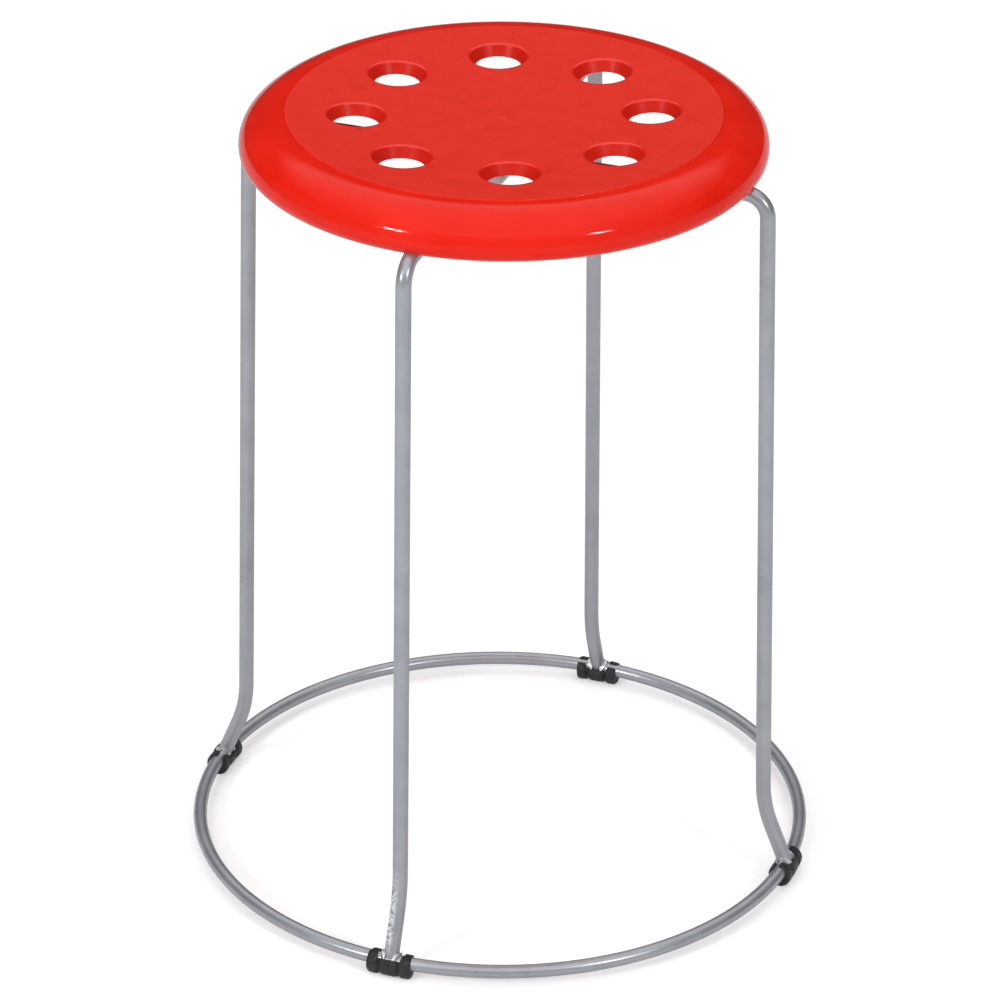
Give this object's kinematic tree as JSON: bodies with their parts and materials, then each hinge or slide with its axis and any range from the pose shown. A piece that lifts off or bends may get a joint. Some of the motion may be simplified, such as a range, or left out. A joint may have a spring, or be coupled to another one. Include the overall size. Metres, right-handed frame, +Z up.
{
  "type": "stacking stool",
  "caption": "Round stacking stool with a dished plastic seat pierced by round holes, on bent metal rod legs joined by a floor ring with clip feet.",
  "frame": {"origin": "on the floor, at the stool's axis", "axes": "+Z up along the axis; the four legs stand on +X, -X, +Y and -Y"},
  "size_m": [0.3626, 0.3626, 0.45],
  "materials": {
    "seat_plastic": "polished rim, finely textured top",
    "frame_paint": "satin silver-grey paint",
    "weld_metal": "bare weld",
    "screw_steel": "zinc plated",
    "foot_plastic": "matt"
  },
  "bodies": {
    "root": {"seat": "seat_plastic", "leg_hoop_left_right": "frame_paint", "leg_hoop_front_back": "frame_paint", "floor_ring": "frame_paint", "crossing_weld": "weld_metal", "seat_screws": "screw_steel", "foot_right": "foot_plastic", "seat_tab_right": "frame_paint", "leg_weld_right": "weld_metal", "foot_back": "foot_plastic", "seat_tab_back": "frame_paint", "leg_weld_back": "weld_metal", "foot_left": "foot_plastic", "seat_tab_left": "frame_paint", "leg_weld_left": "weld_metal", "foot_front": "foot_plastic", "seat_tab_front": "frame_paint", "leg_weld_front": "weld_metal"}
  },
  "joints": []
}
